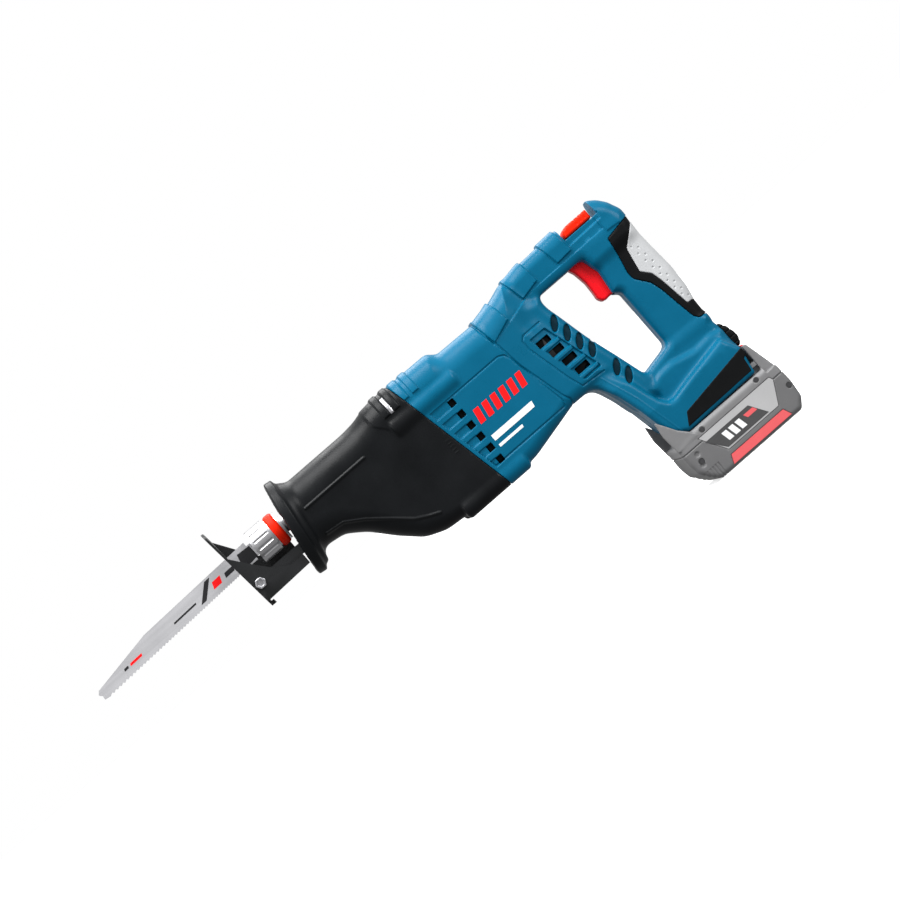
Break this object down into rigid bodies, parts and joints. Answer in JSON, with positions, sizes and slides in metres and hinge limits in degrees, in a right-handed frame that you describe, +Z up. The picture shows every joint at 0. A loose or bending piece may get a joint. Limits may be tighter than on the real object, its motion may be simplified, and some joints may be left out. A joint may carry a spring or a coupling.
{
  "type": "reciprocating saw",
  "caption": "Cordless reciprocating saw with pivoting shoe, quick blade clamp, D-handle with trigger and slide-on battery pack.",
  "frame": {"origin": "on the stroke axis at the front face of the blade clamp sleeve, at mid stroke", "axes": "-X along the blade towards its tip, +Z up, Y across the tool"},
  "size_m": [0.6199, 0.0764, 0.2542],
  "materials": {
    "housing_blue": "moulded, slightly glossy",
    "boot_black": "satin",
    "grip_black": "matt",
    "grip_grey": "matt, dimpled",
    "signal_red": "gloss",
    "blade_steel": "ground",
    "bright_steel": "polished",
    "black_steel": "phosphated",
    "plain_steel": "machined",
    "case_aluminium": "die cast",
    "bronze": "sintered",
    "copper": "wound wire",
    "magnet_dark": "sintered",
    "carbon": "matt",
    "inner_plastic": "moulded",
    "felt": "felt",
    "board_green": "satin",
    "lead_red": "satin",
    "battery_grey": "moulded",
    "badge_grey": "satin",
    "stripe_red": "gloss",
    "cell_wrap": "shrink film"
  },
  "bodies": {
    "housing": {"housing_left": "housing_blue", "housing_right": "housing_blue", "housing_screws": "plain_steel", "front_boot": "boot_black", "boot_clips": "bright_steel", "gear_case": "case_aluminium", "gear_case_cover": "case_aluminium", "gear_case_pan": "case_aluminium", "case_screws": "plain_steel", "plunger_bushes": "bronze", "plunger_seal": "felt", "gear_bearings": "plain_steel", "motor_front_plate": "case_aluminium", "motor_can": "plain_steel", "magnets": "magnet_dark", "brush_plate": "inner_plastic", "brushes": "carbon", "motor_end_cap": "inner_plastic", "motor_bearings": "plain_steel", "shoe_bracket": "plain_steel", "shoe_pivot_bolt": "plain_steel", "grip_overmould": "grip_black", "grip_pad": "grip_grey", "foot_bumpers": "grip_black", "switch_module": "inner_plastic", "trigger_spring": "plain_steel", "terminal_block": "inner_plastic", "contact_blades": "bronze", "control_board": "board_green", "wiring": "lead_red"},
    "rotor": {"rotor_shaft": "plain_steel", "motor_pinion": "plain_steel", "armature_core": "plain_steel", "armature_windings": "copper", "commutator": "copper", "fan": "inner_plastic"},
    "drive_gear": {"crown_gear": "plain_steel", "gear_shaft": "plain_steel", "crank_disc": "plain_steel", "crank_pin": "plain_steel", "crank_roller": "bright_steel"},
    "plunger_group": {"plunger": "plain_steel", "clamp_core": "plain_steel", "clamp_lock_pin": "plain_steel", "clamp_retainer": "plain_steel", "blade": "blade_steel"},
    "clamp": {"clamp_sleeve": "bright_steel", "clamp_ring": "signal_red"},
    "shoe_body": {"shoe": "black_steel"},
    "trigger_body": {"trigger": "signal_red"},
    "lock_body": {"lock_slider": "signal_red"},
    "battery": {"battery_upper_case": "battery_grey", "battery_lower_case": "battery_grey", "battery_badges": "badge_grey", "battery_stripes": "stripe_red", "battery_screws": "bright_steel", "battery_cells": "cell_wrap", "cell_holders": "inner_plastic", "battery_board": "board_green"},
    "release": {"release_button": "signal_red"}
  },
  "joints": [
    {"name": "rotor_spin", "type": "hinge", "parent": "housing", "child": "rotor", "pos_m": [0.25, 0, -0.038], "axis": [1, 0, 0], "range_deg": [-585, 585]},
    {"name": "drive_gear_turn", "type": "hinge", "parent": "housing", "child": "drive_gear", "pos_m": [0.172, 0, -0.03], "axis": [0, 0, 1], "range_deg": [-90.5, 90.5]},
    {"name": "plunger_stroke", "type": "slide", "parent": "housing", "child": "plunger_group", "axis": [1, 0, 0], "range_m": [-0.01405, 0.01405]},
    {"name": "clamp_turn", "type": "hinge", "parent": "plunger_group", "child": "clamp", "pos_m": [0.01, 0, 0], "axis": [1, 0, 0], "range_deg": [0, 70], "stiffness_Nm_per_rad": 0.05},
    {"name": "shoe_tilt", "type": "hinge", "parent": "housing", "child": "shoe_body", "pos_m": [-0.015, 0, -0.0258], "axis": [0, 1, 0], "range_deg": [-8, 8]},
    {"name": "trigger_pull", "type": "slide", "parent": "housing", "child": "trigger_body", "axis": [1, 0, 0], "range_m": [0, 0.006], "stiffness_N_per_m": 600, "deforming": ["trigger_spring"]},
    {"name": "lock_slide", "type": "slide", "parent": "housing", "child": "lock_body", "axis": [1, 0, 0], "range_m": [0, 0.004], "stiffness_N_per_m": 300},
    {"name": "battery_slide", "type": "slide", "parent": "housing", "child": "battery", "axis": [1, 0, 0], "range_m": [0, 0.085]},
    {"name": "release_press", "type": "slide", "parent": "battery", "child": "release", "axis": [0, 0, -1], "range_m": [0, 0.003], "stiffness_N_per_m": 800}
  ],
  "couplings": [
    {"joint": "drive_gear_turn", "follows": "rotor_spin", "ratio": -0.15385},
    {"joint": "plunger_stroke", "follows": "rotor_spin", "m_per_rad": -0.0013712}
  ]
}
